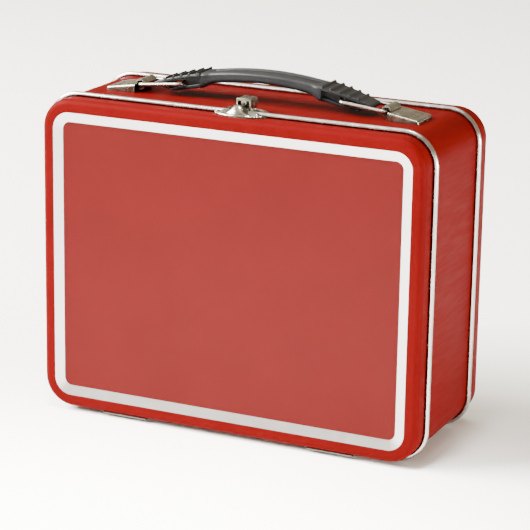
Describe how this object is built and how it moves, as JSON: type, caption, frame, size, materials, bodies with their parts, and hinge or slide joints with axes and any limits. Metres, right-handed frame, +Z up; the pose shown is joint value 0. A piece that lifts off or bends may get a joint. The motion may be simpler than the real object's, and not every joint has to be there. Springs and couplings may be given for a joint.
{
  "type": "metal lunch box",
  "caption": "Pressed metal lunch box standing on its wired rims, with a bottom-hinged front lid, a snap latch and a folding carrying handle.",
  "frame": {"origin": "middle of the footprint, on the plane the case stands on", "axes": "+X to the right along the width seen from the lid, +Y into the depth away from the lid, +Z up"},
  "size_m": [0.2218, 0.09, 0.1893],
  "materials": {
    "red_paint": "satin baked enamel on tinplate, bare tin on the rims and on the sloped frame",
    "nickel": "nickel plate on pressed steel, lightly worn",
    "steel": "drawn wire and plain steel",
    "black_plastic": "semi-matt moulded plastic"
  },
  "bodies": {
    "case": {"body_band": "red_paint", "back_panel": "red_paint", "front_rim_wire": "steel", "rear_rim_wire": "steel", "body_hinge_leaf_left": "steel", "body_hinge_leaf_right": "steel", "body_hinge_rivets": "steel", "hinge_pin_left": "steel", "hinge_pin_right": "steel", "latch_base": "nickel", "latch_base_rivets": "nickel", "latch_pin": "steel", "latch_spring": "steel", "handle_bracket_left": "nickel", "handle_bracket_right": "nickel"},
    "lid": {"front_lid": "red_paint", "latch_keeper": "nickel", "keeper_rivets": "nickel", "lid_hinge_leaf_left": "steel", "lid_hinge_leaf_right": "steel", "lid_hinge_rivets": "steel"},
    "lever": {"latch_lever": "nickel"},
    "grip": {"handle_grip": "black_plastic"},
    "loop_left": {"handle_loop_left": "steel"},
    "loop_right": {"handle_loop_right": "steel"}
  },
  "joints": [
    {"name": "lid_hinge", "type": "hinge", "parent": "case", "child": "lid", "pos_m": [0, -0.0335, 0.00134], "axis": [1, 0, 0], "range_deg": [0, 175]},
    {"name": "latch_pivot", "type": "hinge", "parent": "case", "child": "lever", "pos_m": [0.003, -0.0274, 0.17714], "axis": [-1, 0, 0], "range_deg": [0, 75], "stiffness_Nm_per_rad": 0.004, "springref_deg": -20.05, "deforming": ["latch_spring"]},
    {"name": "handle_lift", "type": "slide", "parent": "case", "child": "grip", "axis": [0, 0, 1], "range_m": [0, 0.01635]},
    {"name": "loop_left_swing", "type": "hinge", "parent": "case", "child": "loop_left", "pos_m": [-0.0687, -0.00265, 0.17664], "axis": [0, -1, 0], "range_deg": [0, 37.2]},
    {"name": "loop_right_swing", "type": "hinge", "parent": "case", "child": "loop_right", "pos_m": [0.0723, -0.00265, 0.17664], "axis": [0, 1, 0], "range_deg": [0, 37.2]}
  ],
  "couplings": [
    {"joint": "loop_left_swing", "follows": "handle_lift", "rad_per_m": 39.535},
    {"joint": "loop_right_swing", "follows": "handle_lift", "rad_per_m": 39.535}
  ]
}
